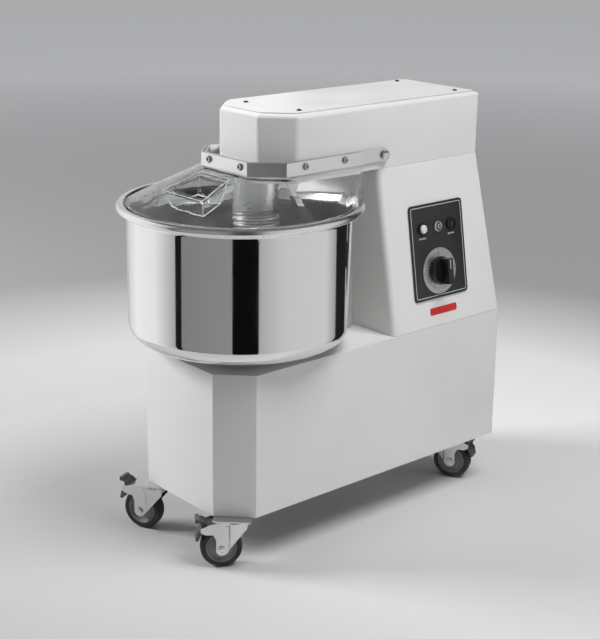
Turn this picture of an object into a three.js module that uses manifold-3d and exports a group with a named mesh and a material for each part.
// Spiral dough mixer with a fixed head: turning bowl, spiral hook, breaker bar,
// lifting clear guard with a feed hopper, and four swivel castors with brakes.
// Millimetres, +Z up, floor at z = 0. -Y is the bowl end, +X the control side.
import * as THREE from 'three';
import { mergeVertices } from 'three/addons/utils/BufferGeometryUtils.js';
import { ConvexGeometry } from 'three/addons/geometries/ConvexGeometry.js';
import Module from 'manifold-3d';

const wasm = await Module();
wasm.setup();

// Driving dimensions
const GAP = 0.3;              // clearance between fitted pieces
const SHEET = 2;              // sheet steel thickness
const BASE_Z = 87;            // underside of the base
const BASE_TOP = 322.3;
const BASE_W = 135;           // half width
const BASE_FRONT = -266;
const BASE_REAR = 334.6;
const BASE_CHAMFER = 48;
const HEAD_Z = 598.4;
const HEAD_TOP = 703.2;
const HEAD_W = 90.6;          // half width
const HEAD_FRONT = -146;
const HEAD_REAR = 306.5;
const HEAD_CHAMFER = 43;
const HEAD_BEND = 8;          // bend at the top edges of the head
const COVER_TOP = 705.2;
const COLUMN_FRONT_FOOT = 75;
const COLUMN_FRONT_TOP = 69;
const BOWL_Y = -140.7;        // bowl axis
const BOWL_R = 180;           // outside radius of the wall
const BOWL_Z = 339.3;         // underside of the bowl
const BOWL_CORNER = 30;
const BEAD_R = 6.6;           // rolled rim
const BEAD_Z = 554.3;
const BEAD_RING = 189.6;
const HOOK_Y = -109;          // spiral hook axis
const SPIRAL_R = 51;          // centre line of the spiral
const SPIRAL_BAR = 9;
const BAR_X = -57;            // breaker bar
const BAR_Y = -60;
const SHAFT_Y = 150;          // vertical main shaft
const SHAFT_R = 12.5;
const CHAIN_PITCH = 12.7;
const LOWER_Z = 277;          // underside of the lower sprockets
const UPPER_Z = 657;          // underside of the upper sprockets
const SPROCKET_H = 7;
const TEETH = { bowl: 56, lowerDrive: 12, upperDrive: 24, hook: 13 };
const MOTOR_X = 45;
const MOTOR_Z = 174;
const GUARD_W = 100;          // outside of the clamp strip
const GUARD_FRONT = -175;
const GUARD_CHAMFER = 43;
const STRIP_Z = 611.5;
const STRIP_H = 21.5;
const STRIP_REAR = 30;
const PIVOT_Y = 80;
const PIVOT_Z = 620.5;
const DOME_TOP = 608.5;
const DOME_Z = 558.5;
const DOME_R = 181;
const PANEL_Y = 193;
const PANEL_Z = 448.5;
const PANEL_W = 128;
const PANEL_H = 161.5;
const CASTOR_TRAIL = 20;
const WHEEL_R = 33.5;
const CASTORS = {             // swivel axis x, y and heading in degrees
  front_right: [100, -235, -124],
  front_left: [-84, -256, -156],
  rear_right: [67, 279, 25],
  rear_left: [-80, 268, 118],
};

// Finishes
const finish = (color, roughness, metalness, opacity = 1) => () =>
  new THREE.MeshStandardMaterial({ color, roughness, metalness, opacity,
    transparent: opacity < 1 });
const WHITE = finish(0xe9e9e6, 0.45, 0.0);
const STAINLESS = finish(0xc9c9c7, 0.18, 1.0);
const BRUSHED = finish(0xb9b9b8, 0.35, 1.0);
const ZINC = finish(0xc4c4c2, 0.28, 1.0);
const CAST = finish(0x8b8f91, 0.6, 0.6);
const MOTOR_GREY = finish(0x6d7276, 0.55, 0.3);
const STEEL = finish(0x75767a, 0.4, 0.9);
const CHAIN = finish(0x4b4a48, 0.5, 0.8);
const CLEAR = finish(0xdfe5e8, 0.05, 0.0, 0.25);
const BLACK = finish(0x17181a, 0.4, 0.0);
const BUTTON_WHITE = finish(0xf2f2f0, 0.35, 0.0);
const SILVER = finish(0xb7b9bb, 0.35, 0.8);
const RUBBER = finish(0x1d1d1e, 0.8, 0.0);
const CORE_GREY = finish(0x77797c, 0.55, 0.0);
const PEDAL_GREY = finish(0x4a4c4f, 0.5, 0.1);
const GREEN = finish(0xdfe9df, 0.3, 0.0);

const assembly = new THREE.Group();
assembly.name = 'dough_mixer';

// Closed solid from a three.js geometry, for joins and cuts
function solid(geometry) {
  const bare = geometry.clone();
  bare.deleteAttribute('normal');
  bare.deleteAttribute('uv');
  const merged = mergeVertices(bare, 1e-4);
  return new wasm.Manifold(new wasm.Mesh({
    numProp: 3,
    vertProperties: new Float32Array(merged.attributes.position.array),
    triVerts: new Uint32Array(merged.index.array),
  }));
}

function geometryOf(body) {
  const data = body.getMesh();
  const geometry = new THREE.BufferGeometry();
  geometry.setAttribute('position', new THREE.BufferAttribute(data.vertProperties, 3));
  geometry.setIndex(new THREE.BufferAttribute(data.triVerts, 1));
  geometry.computeVertexNormals();
  return geometry;
}

function add(name, shape, material, parent = assembly) {
  const geometry = shape.isBufferGeometry ? shape : geometryOf(shape);
  const mesh = new THREE.Mesh(geometry, material());
  mesh.name = name;
  parent.add(mesh);
  return mesh;
}

const join = (...bodies) => bodies.reduce((a, b) => a.add(b));
const cut = (body, ...tools) => tools.reduce((a, b) => a.subtract(b), body);

function block(x0, x1, y0, y1, z0, z1) {
  const g = new THREE.BoxGeometry(x1 - x0, y1 - y0, z1 - z0);
  g.translate((x0 + x1) / 2, (y0 + y1) / 2, (z0 + z1) / 2);
  return solid(g);
}

// Round bar along z, y or x, from low to high end
function rod(axis, r, low, high, a, b, sides = 24) {
  const g = new THREE.CylinderGeometry(r, r, high - low, sides);
  const mid = (low + high) / 2;
  if (axis === 'z') { g.rotateX(Math.PI / 2); g.translate(a, b, mid); }
  if (axis === 'y') g.translate(a, mid, b);
  if (axis === 'x') { g.rotateZ(-Math.PI / 2); g.translate(mid, a, b); }
  return solid(g);
}

// Turned piece about z through x, y; the profile is a list of [radius, z]
function turned(profile, sides, x = 0, y = 0) {
  const g = new THREE.LatheGeometry(profile.map(([r, z]) => new THREE.Vector2(r, z)), sides);
  g.rotateX(Math.PI / 2);
  g.translate(x, y, 0);
  return g;
}

const ring = (rIn, rOut, z0, z1, sides, x, y) =>
  turned([[rIn, z0], [rOut, z0], [rOut, z1], [rIn, z1], [rIn, z0]], sides, x, y);

function shapeOf(points, holes = []) {
  const shape = new THREE.Shape(points.map(([x, y]) => new THREE.Vector2(x, y)));
  holes.forEach((h) => shape.holes.push(new THREE.Path(h.map(([x, y]) => new THREE.Vector2(x, y)))));
  return shape;
}

function prism(points, z0, z1, holes = []) {
  const g = new THREE.ExtrudeGeometry(shapeOf(points, holes),
    { depth: z1 - z0, bevelEnabled: false });
  g.translate(0, 0, z0);
  return g;
}

function circle(r, x, y, sides) {
  const points = [];
  for (let i = 0; i < sides; i += 1) {
    const t = (2 * Math.PI * i) / sides;
    points.push([x + r * Math.cos(t), y + r * Math.sin(t)]);
  }
  return points;
}

const arc = (cx, cy, r, from, to, steps) => {
  const points = [];
  for (let i = 0; i <= steps; i += 1) {
    const t = ((from + ((to - from) * i) / steps) * Math.PI) / 180;
    points.push([cx + r * Math.cos(t), cy + r * Math.sin(t)]);
  }
  return points;
};

// Plan outline with chamfered front corners, shrunk inward by an offset
function nose(w, front, rear, chamfer, inset = 0) {
  const k = inset * Math.tan(Math.PI / 8);
  const x = w - inset;
  const a = [w - chamfer - k, front + inset];
  const b = [x, front + chamfer + k];
  const back = rear - inset;
  return [[-x, back], [-b[0], b[1]], [-a[0], a[1]], a, b, [x, back]];
}

// Base: sheet steel box, chamfered at the front, with an inward floor flange
const bowlHole = circle(22, 0, BOWL_Y, 24);
const columnHole = [[-110, 100], [110, 100], [110, 312], [-110, 312]];
const base = cut(
  solid(prism(nose(BASE_W, BASE_FRONT, BASE_REAR, BASE_CHAMFER), BASE_Z, BASE_TOP)),
  solid(prism(nose(BASE_W, BASE_FRONT, BASE_REAR, BASE_CHAMFER, SHEET),
    BASE_Z + SHEET, BASE_TOP - SHEET)),
  solid(prism(bowlHole, BASE_TOP - 2 * SHEET, BASE_TOP + SHEET)),
  solid(prism(columnHole, BASE_TOP - 2 * SHEET, BASE_TOP + SHEET)),
  block(-70, 70, -190, 235, BASE_Z - SHEET, BASE_Z + 2 * SHEET),
  block(-75, 75, BASE_REAR - 2 * SHEET, BASE_REAR + SHEET, 140, 275),
);
add('base_shell', base, WHITE);

// Column: tapered sheet steel box with rounded corner bends
function columnOutline(z, inset) {
  const t = (z - BASE_TOP) / (HEAD_Z - BASE_TOP);
  const x = BASE_W + (HEAD_W - BASE_W) * t - inset;
  const front = COLUMN_FRONT_FOOT + (COLUMN_FRONT_TOP - COLUMN_FRONT_FOOT) * t + inset;
  const rear = BASE_REAR + (HEAD_REAR - BASE_REAR) * t - inset;
  const r = 10 - inset;
  const rr = 5 - inset;
  return [
    ...arc(-x + r, front + r, r, 180, 270, 4), ...arc(x - r, front + r, r, 270, 360, 4),
    ...arc(x - rr, rear - rr, rr, 0, 90, 2), ...arc(-x + rr, rear - rr, rr, 90, 180, 2),
  ].map(([px, py]) => new THREE.Vector3(px, py, z));
}
const loft = (z0, z1, inset) =>
  solid(new ConvexGeometry([...columnOutline(z0, inset), ...columnOutline(z1, inset)]));
const panelTilt = Math.atan2(BASE_W - HEAD_W, HEAD_Z - BASE_TOP);
const columnSide = (z) => BASE_W - (z - BASE_TOP) * Math.tan(panelTilt);
const column = cut(
  loft(BASE_TOP + GAP, HEAD_Z - GAP, 0),
  loft(BASE_TOP - 10, HEAD_Z + 10, SHEET),
  block(80, 150, PANEL_Y - 50, PANEL_Y + 50, PANEL_Z - 62, PANEL_Z + 66),
  block(-55, 55, 280, 360, 379, 549),
);
add('column_shell', column, WHITE);

// Head: sheet steel box, chamfered at the front, bent in at the top edges
const headOutline = nose(HEAD_W, HEAD_FRONT, HEAD_REAR, HEAD_CHAMFER, HEAD_BEND);
const headBlank = new THREE.ExtrudeGeometry(shapeOf(headOutline), {
  depth: 100, bevelEnabled: true, bevelThickness: HEAD_BEND, bevelSize: HEAD_BEND,
  bevelSegments: 4,
});
headBlank.translate(0, 0, HEAD_TOP - 100 - HEAD_BEND);
const head = cut(
  solid(headBlank),
  block(-120, 120, -200, 350, HEAD_Z - 60, HEAD_Z),
  solid(prism(nose(HEAD_W, HEAD_FRONT, HEAD_REAR, HEAD_CHAMFER, SHEET),
    HEAD_Z + SHEET, HEAD_TOP - HEAD_BEND)),
  solid(prism(nose(HEAD_W, HEAD_FRONT, HEAD_REAR, HEAD_CHAMFER, 18),
    HEAD_TOP - 20, HEAD_TOP + SHEET)),
  block(-68, 68, 92, 285, HEAD_Z - SHEET, HEAD_Z + 2 * SHEET),
  rod('z', 15, HEAD_Z - SHEET, HEAD_Z + 2 * SHEET, 0, HOOK_Y),
  rod('x', 5, -HEAD_W - SHEET, -HEAD_W + 2 * SHEET, PIVOT_Y, PIVOT_Z),
  rod('x', 5, HEAD_W - 2 * SHEET, HEAD_W + SHEET, PIVOT_Y, PIVOT_Z),
);
add('head_shell', head, WHITE);
add('head_cover', prism(nose(HEAD_W, HEAD_FRONT, HEAD_REAR, HEAD_CHAMFER, HEAD_BEND),
  HEAD_TOP + GAP, COVER_TOP), WHITE);

// Service panels on the rear faces of the base and the column
add('base_rear_panel', block(-85, 85, BASE_REAR + GAP, BASE_REAR + GAP + SHEET, 130, 285), WHITE);
const rearTilt = Math.atan2(BASE_REAR - HEAD_REAR, HEAD_Z - BASE_TOP);
const columnRear = (z) => BASE_REAR - (z - BASE_TOP) * Math.tan(rearTilt);
const rearPanel = new THREE.BoxGeometry(130, SHEET, 190);
const rearPanelZ = 464;
const rear = add('column_rear_panel', rearPanel, WHITE);
rear.rotation.x = rearTilt;
rear.position.set(0, columnRear(rearPanelZ) + (SHEET / 2 + GAP) / Math.cos(rearTilt), rearPanelZ);

// Toothed wheel for roller chain
function sprocket(teeth, bore, z, x, y) {
  const pitch = CHAIN_PITCH / (2 * Math.sin(Math.PI / teeth));
  const root = pitch - 4;
  const tip = pitch + 4;
  const outline = [];
  for (let i = 0; i < teeth; i += 1) {
    [[0, root], [0.38, tip], [0.62, tip]].forEach(([f, r]) => {
      const t = (2 * Math.PI * (i + f)) / teeth;
      outline.push([x + r * Math.cos(t), y + r * Math.sin(t)]);
    });
  }
  return prism(outline, z, z + SPROCKET_H, [circle(bore, x, y, 20)]);
}

const tipRadius = (teeth) => CHAIN_PITCH / (2 * Math.sin(Math.PI / teeth)) + 4;

// Chain run as a band round two sprockets on the centre plane
function chainBand(teethA, yA, teethB, yB, z) {
  const outline = (grow) => {
    const a = tipRadius(teethA) + grow;
    const b = tipRadius(teethB) + grow;
    const lean = (Math.asin((a - b) / (yB - yA)) * 180) / Math.PI;
    return [...arc(0, yA, a, 180 - lean, 360 + lean, 22), ...arc(0, yB, b, lean, 180 - lean, 12)];
  };
  return prism(outline(3.4), z, z + SPROCKET_H - 1, [outline(0.5)]);
}

// Bowl drive in the base
const arcPoint = (cx, cz, r, deg) =>
  [cx + r * Math.cos((deg * Math.PI) / 180), cz + r * Math.sin((deg * Math.PI) / 180)];
const inner = BOWL_R - SHEET;
const cornerR = BOWL_R - BOWL_CORNER;
const cornerZ = BOWL_Z + BOWL_CORNER;
const bowlProfile = [
  [0, BOWL_Z],
  ...[-90, -60, -30, 0].map((d) => arcPoint(cornerR, cornerZ, BOWL_CORNER, d)),
  [BOWL_R, BEAD_Z - 12],
  ...[-120, -70, -20, 30, 80, 125, 165].map((d) => arcPoint(BEAD_RING, BEAD_Z, BEAD_R, d)),
  [inner, BEAD_Z - 8],
  ...[0, -30, -60, -90].map((d) => arcPoint(cornerR, cornerZ, BOWL_CORNER - SHEET, d)),
  [0, BOWL_Z + SHEET],
];
add('bowl', turned(bowlProfile, 48, 0, BOWL_Y), STAINLESS);
add('bowl_hub', turned([[0, 271], [17.5, 271], [17.5, 332], [62, 334], [62, BOWL_Z - GAP],
  [0, BOWL_Z - GAP]], 32, 0, BOWL_Y), CAST);
add('bowl_sprocket', sprocket(TEETH.bowl, 17.8, LOWER_Z, 0, BOWL_Y), STEEL);
add('bowl_bearing_housing', turned([[17.8, 291], [40, 291], [40, 311], [72, 313],
  [72, BASE_TOP - SHEET - GAP], [17.8, BASE_TOP - SHEET - GAP], [17.8, 291]], 32, 0, BOWL_Y), CAST);

// Main shaft, worm gearbox and motor
add('main_shaft', turned([[0, 111], [SHAFT_R, 111], [SHAFT_R, 679], [0, 679]], 20, 0, SHAFT_Y),
  STEEL);
add('lower_drive_sprocket', sprocket(TEETH.lowerDrive, SHAFT_R + GAP, LOWER_Z, 0, SHAFT_Y), STEEL);
add('upper_drive_sprocket', sprocket(TEETH.upperDrive, SHAFT_R + GAP, UPPER_Z, 0, SHAFT_Y), STEEL);
add('lower_chain', chainBand(TEETH.bowl, BOWL_Y, TEETH.lowerDrive, SHAFT_Y, LOWER_Z + 0.5), CHAIN);
add('upper_chain', chainBand(TEETH.hook, HOOK_Y, TEETH.upperDrive, SHAFT_Y, UPPER_Z + 0.5), CHAIN);

const wheelLow = MOTOR_Z - 14;
const wheelHigh = MOTOR_Z + 14;
add('worm_wheel', ring(SHAFT_R + GAP, 31, wheelLow, wheelHigh, 32, 0, SHAFT_Y), STEEL);
const gearbox = cut(
  join(
    block(-48, 76, 97, 203, 124, 225),
    rod('z', 26, 224, 251, 0, SHAFT_Y),
    block(-98, 98, 115, 185, BASE_Z + SHEET + GAP, 97),
    block(-40, 68, 118, 182, 96, 125),
  ),
  rod('z', 35, wheelLow - 4, wheelHigh + 4, 0, SHAFT_Y, 32),
  rod('z', SHAFT_R + 0.6, 107, 259, 0, SHAFT_Y),
  rod('y', 14, 90, 190, MOTOR_X, MOTOR_Z),
);
add('gearbox_housing', gearbox, CAST);

const motorFront = 96.6;
const motorBack = -45;
const finned = [];
const FINS = 20;
for (let i = 0; i < FINS; i += 1) {
  [[0.1, 50], [0.35, 58], [0.65, 58], [0.9, 50]].forEach(([f, r]) => {
    const t = (2 * Math.PI * (i + f)) / FINS;
    finned.push([r * Math.cos(t), r * Math.sin(t)]);
  });
}
const motor = prism(finned, 0, motorFront - motorBack, [circle(8.5, 0, 0, 16)]);
motor.rotateX(Math.PI / 2);
motor.translate(MOTOR_X, motorFront, MOTOR_Z);
add('motor_body', motor, MOTOR_GREY);
const cowl = turned([[0, 0], [55, 0], [60, 5], [60, 38], [57.5, 38], [57.5, 6], [54, SHEET],
  [0, SHEET]], 24);
cowl.rotateX(-Math.PI / 2);
cowl.translate(MOTOR_X, motorBack - 40, MOTOR_Z);
add('motor_fan_cowl', cowl, MOTOR_GREY);
const wormProfile = [[0, 0], [8, 0], [8, 172]];
for (let i = 0; i < 4; i += 1) {
  const s = 182 + i * 15;
  wormProfile.push([9, s], [12.5, s + 4], [12.5, s + 9], [9, s + 13]);
}
wormProfile.push([8, 250], [0, 250]);
const worm = turned(wormProfile, 14);
worm.rotateX(-Math.PI / 2);
worm.translate(MOTOR_X, motorBack - 20, MOTOR_Z);
add('motor_shaft', worm, STEEL);

// Spindle and its bearing in the head, collar below it
add('spindle_bearing_housing', ring(SHAFT_R + 0.6, 33, HEAD_Z + SHEET + GAP, 644, 28, 0, HOOK_Y),
  CAST);
add('spindle', turned([[0, 531], [30, 531], [37, 534], [37, 538], [33, 540], [37, 542],
  [37, 546], [33, 548], [36, 550], [36, 554.4], [SHAFT_R, 554.4], [SHAFT_R, 679], [0, 679]],
24, 0, HOOK_Y), BRUSHED);
add('spindle_sprocket', sprocket(TEETH.hook, SHAFT_R + GAP, UPPER_Z, 0, HOOK_Y), STEEL);
add('head_collar', ring(28, 36, 555, HEAD_Z - GAP, 32, 0, HOOK_Y), BRUSHED);

// Spiral hook: one bent round bar, straight at the top and wound below
const coil = [new THREE.Vector3(0, 0, 530.7), new THREE.Vector3(0, 0, 504),
  new THREE.Vector3(-6, 2, 481)];
const COIL_STEPS = 16;
for (let i = 0; i <= COIL_STEPS; i += 1) {
  const t = i / COIL_STEPS;
  const r = SPIRAL_R * Math.min(1, 0.42 + 1.5 * t);
  const a = Math.PI * (0.95 + 2.6 * t);
  coil.push(new THREE.Vector3(r * Math.cos(a), r * Math.sin(a), 465 - 104 * t));
}
const section = shapeOf(circle(SPIRAL_BAR, 0, 0, 8));
const hook = new THREE.ExtrudeGeometry(section, {
  steps: 48, bevelEnabled: false, extrudePath: new THREE.CatmullRomCurve3(coil),
});
hook.translate(0, HOOK_Y, 0);
add('spiral_hook', hook, STAINLESS);

// Breaker bar hanging from the head
add('breaker_bar', turned([[0, 351], [6, 351], [9, 355], [9, 590], [22, 592], [22, HEAD_Z - GAP],
  [0, HEAD_Z - GAP]], 24, BAR_X, BAR_Y), STAINLESS);

// Lifting guard: inner hinge bracket, clear shell, outer clamp strip
function strip(outerInset, innerInset, rearEnd, z0, z1) {
  const outer = nose(GUARD_W, GUARD_FRONT, rearEnd + outerInset, GUARD_CHAMFER, outerInset);
  const inside = nose(GUARD_W, GUARD_FRONT, rearEnd + innerInset, GUARD_CHAMFER, innerInset);
  return solid(prism([...outer, ...inside.reverse()], z0, z1));
}
const guard = new THREE.Group();
assembly.add(guard);
const stripTop = STRIP_Z + STRIP_H;
let bracket = strip(5.1, 7.3, PIVOT_Y, STRIP_Z, stripTop);
[-1, 1].forEach((side) => {
  const x = side * (GUARD_W - 6.2);
  bracket = join(bracket, rod('x', STRIP_H / 2, x - 1.1, x + 1.1, PIVOT_Y, PIVOT_Z + 0.25));
  bracket = cut(bracket, rod('x', 5, x - 3, x + 3, PIVOT_Y, PIVOT_Z, 20));
});
add('guard_bracket', bracket, STAINLESS, guard);
add('guard_clamp_strip', strip(0, 2.4, STRIP_REAR, STRIP_Z, stripTop), STAINLESS, guard);

function domeHull(inset, low, high) {
  const points = nose(GUARD_W, GUARD_FRONT, STRIP_REAR + 2.7 + inset, GUARD_CHAMFER, 2.7 + inset)
    .map(([x, y]) => new THREE.Vector3(x, y, high));
  circle(DOME_R - inset, 0, BOWL_Y, 64).filter(([, y]) => y < STRIP_REAR)
    .forEach(([x, y]) => points.push(new THREE.Vector3(x, y, low)));
  [-1, 1].forEach((side) =>
    points.push(new THREE.Vector3(side * (GUARD_W - 2.7 - inset), STRIP_REAR, low)));
  return solid(new ConvexGeometry(points));
}
// Feed hopper: four walls that close in downward from an opening on the slope
function hopperHull(inset, over, under) {
  const top = [[36.4, -193, 606.5], [49.5, -255, 583]];
  const bottom = [[29, -203, 573], [38, -243, 560.5]];
  const points = [];
  const push = (list, lift) => list.forEach(([x, y, z], i) => [-1, 1].forEach((side) =>
    points.push(new THREE.Vector3(side * (x - inset), y + (i ? inset : -inset), z + lift))));
  push(top, over);
  push(bottom, -under);
  return solid(new ConvexGeometry(points));
}
const domeWall = 3;
const shell = cut(
  join(
    cut(domeHull(0, DOME_Z, DOME_TOP), domeHull(domeWall, DOME_Z - 2, DOME_TOP - domeWall),
      solid(prism(nose(GUARD_W, GUARD_FRONT, 60, GUARD_CHAMFER, 4.8), 550, 640)),
      block(-150, 150, STRIP_REAR, 120, 550, 640),
      solid(ring(DOME_R + 0.5, DOME_R + 40, DOME_Z - 5, BEAD_Z + BEAD_R + 1.5, 64, 0, BOWL_Y))),
    strip(2.7, 4.8, STRIP_REAR, DOME_TOP - 5, stripTop - 0.5),
    hopperHull(0, 0, 0),
  ),
  hopperHull(domeWall, 1, 1),
);
add('guard_dome', shell, CLEAR, guard);

// Guard pivot bolts through the head sides
[['left', -1], ['right', 1]].forEach(([name, side]) => {
  const bolt = turned([[0, 0], [8, 0], [8, 5], [4.6, 5], [4.6, 13.2], [8, 13.2], [8, 16],
    [5, 18.5], [0, 18.5]], 20);
  bolt.rotateY((side * Math.PI) / 2);
  bolt.translate(side * (HEAD_W - 7.4), PIVOT_Y, PIVOT_Z);
  add(`guard_pivot_${name}`, bolt, ZINC);
});

// Control panel on the right side of the column
const panel = new THREE.Group();
panel.position.set(columnSide(PANEL_Z), PANEL_Y, PANEL_Z);
const up = new THREE.Vector3(-Math.sin(panelTilt), 0, Math.cos(panelTilt));
const out = new THREE.Vector3(Math.cos(panelTilt), 0, Math.sin(panelTilt));
panel.setRotationFromMatrix(new THREE.Matrix4().makeBasis(new THREE.Vector3(0, 1, 0), up, out));
assembly.add(panel);
const BUTTON_V = 40;
const START_U = -35.5;
const STOP_U = 33;
const LAMP_U = 1.5;
const DIAL_U = -2.8;
const DIAL_V = -34.8;
const DIAL_R = 39.3;
const FACE = GAP + SHEET;
const plateOutline = [
  ...arc(PANEL_W / 2 - 6, -PANEL_H / 2 + 6, 6, 270, 360, 3),
  ...arc(PANEL_W / 2 - 6, PANEL_H / 2 - 6, 6, 0, 90, 3),
  ...arc(-PANEL_W / 2 + 6, PANEL_H / 2 - 6, 6, 90, 180, 3),
  ...arc(-PANEL_W / 2 + 6, -PANEL_H / 2 + 6, 6, 180, 270, 3),
];
const plate = join(
  solid(prism(plateOutline, GAP, FACE,
    [circle(8, START_U, BUTTON_V, 20), circle(8, STOP_U, BUTTON_V, 20)])),
  solid(ring(8, 10, FACE - 1, FACE + 4, 20, START_U, BUTTON_V)),
  solid(ring(8, 10, FACE - 1, FACE + 4, 20, STOP_U, BUTTON_V)),
);
add('control_panel', plate, BLACK, panel);
const capProfile = [[0, -1], [7.5, -1], [7.5, 7.5], [6, 9], [0, 9]];
add('start_button', turned(capProfile, 20, START_U, BUTTON_V), BUTTON_WHITE, panel);
add('stop_button', turned(capProfile, 20, STOP_U, BUTTON_V), BLACK, panel);
add('indicator_lamp', turned([[0, FACE + GAP], [8, FACE + GAP], [8, FACE + 2.5],
  [6, FACE + 3.5], [0, FACE + 3.5]], 20, LAMP_U, BUTTON_V), GREEN, panel);
add('timer_dial', turned([[0, FACE + GAP], [DIAL_R, FACE + GAP], [DIAL_R, FACE + 1.6],
  [0, FACE + 1.6]], 40, DIAL_U, DIAL_V), SILVER, panel);
// Timer knob: round skirt with an upright grip bar
const knobBase = FACE + 1.6 + GAP;
const GRIP_HALF = 6;
const GRIP_REACH = 21.5;
const knob = join(
  solid(turned([[0, knobBase], [24, knobBase], [24, knobBase + 5], [21.5, knobBase + 8],
    [0, knobBase + 8]], 28, DIAL_U, DIAL_V)),
  block(DIAL_U - GRIP_HALF, DIAL_U + GRIP_HALF, DIAL_V - GRIP_REACH, DIAL_V + GRIP_REACH,
    knobBase + 4, knobBase + 26),
);
add('timer_knob', knob, BLACK, panel);

// Cable gland under the rear of the base, clear of the circles the castors sweep
const gland = turned([[0, 0], [5.5, 0], [8, 4], [8, 12], [10.5, 12], [10.5, 20], [0, 20]], 16);
gland.translate(-6, 316, BASE_Z - GAP - 20);
add('cable_gland', gland, BLACK);

// Swivel castor: heading +x, origin on the floor below the swivel axis; the front flanges
// lie square to the chamfered corners
const FORK_TOP = 80;
const PEDAL_X = 12;
const PEDAL_Z = 72;
function castor(name, x, y, heading) {
  const group = new THREE.Group();
  group.position.set(x, y, 0);
  assembly.add(group);
  const turning = new THREE.Group();
  turning.rotation.z = (heading * Math.PI) / 180;
  group.add(turning);
  const top = BASE_Z - GAP;
  const flange = new THREE.BoxGeometry(60, 60, 2.5);
  flange.rotateZ(y < 0 ? Math.PI / 4 : 0);
  flange.translate(0, 0, top - 1.25);
  add(`${name}_plate`, join(
    solid(flange),
    rod('z', 21, FORK_TOP + GAP, top - 2, 0, 0, 20),
  ), ZINC, group);

  const cheekOutline = [[-22, FORK_TOP], [-20, 66], [11, 28], [14.5, 25], [20, 23.5], [25.5, 25],
    [29, 30], [29, 50], [33, 59], [46, 60], [53, 64], [53, 71], [36, 77], [22, FORK_TOP]];
  const cheek = (side) => {
    const g = prism(cheekOutline, 0, 2.4);
    g.rotateX(Math.PI / 2);
    g.translate(0, side > 0 ? 17.6 : -15.2, 0);
    return solid(g);
  };
  add(`${name}_fork`, join(
    cheek(1), cheek(-1),
    rod('z', 22, FORK_TOP - 4, FORK_TOP, 0, 0, 20),
    block(-21, -8, -15.5, 15.5, 71, FORK_TOP - 1),
    rod('y', 3.8, -19.5, 19.5, CASTOR_TRAIL, WHEEL_R, 12),
    rod('y', 6.5, 17.4, 20, CASTOR_TRAIL, WHEEL_R, 8),
    rod('y', 6.5, -20, -17.4, CASTOR_TRAIL, WHEEL_R, 8),
    rod('y', 2.2, -18.5, 18.5, PEDAL_X, PEDAL_Z, 8),
  ), ZINC, turning);

  const axled = (profile, sides) => {
    const g = turned(profile, sides);
    g.rotateX(Math.PI / 2);
    g.translate(CASTOR_TRAIL, 0, WHEEL_R);
    return g;
  };
  add(`${name}_core`, axled([[4.1, -14.8], [9, -14.8], [10, -5], [20, -5], [24.5, -10],
    [24.5, 10], [20, 5], [10, 5], [9, 14.8], [4.1, 14.8], [4.1, -14.8]], 16),
  CORE_GREY, turning);
  add(`${name}_tyre`, axled([[24.8, -10.5], [30.5, -11], [WHEEL_R, -6],
    [WHEEL_R, 6], [30.5, 11], [24.8, 10.5], [24.8, -10.5]], 24), RUBBER, turning);

  const lever = prism([[6, 75], [6, 69.3], [20, 69.3], [36, 67.5], [50, 60], [57, 46], [61, 47],
    [58, 60], [51, 68], [52, 76], [58, 79], [57, 82], [48, 80], [42, 75]], -11, 11);
  lever.rotateX(Math.PI / 2);
  const pedal = cut(
    join(solid(lever), block(55, 61, -11, 11, 77.5, 84)),
    rod('y', 2.6, -14, 14, PEDAL_X, PEDAL_Z, 8),
  );
  add(`${name}_pedal`, pedal, PEDAL_GREY, turning);
}
Object.entries(CASTORS).forEach(([name, [x, y, heading]]) => castor(name, x, y, heading));

export default assembly;
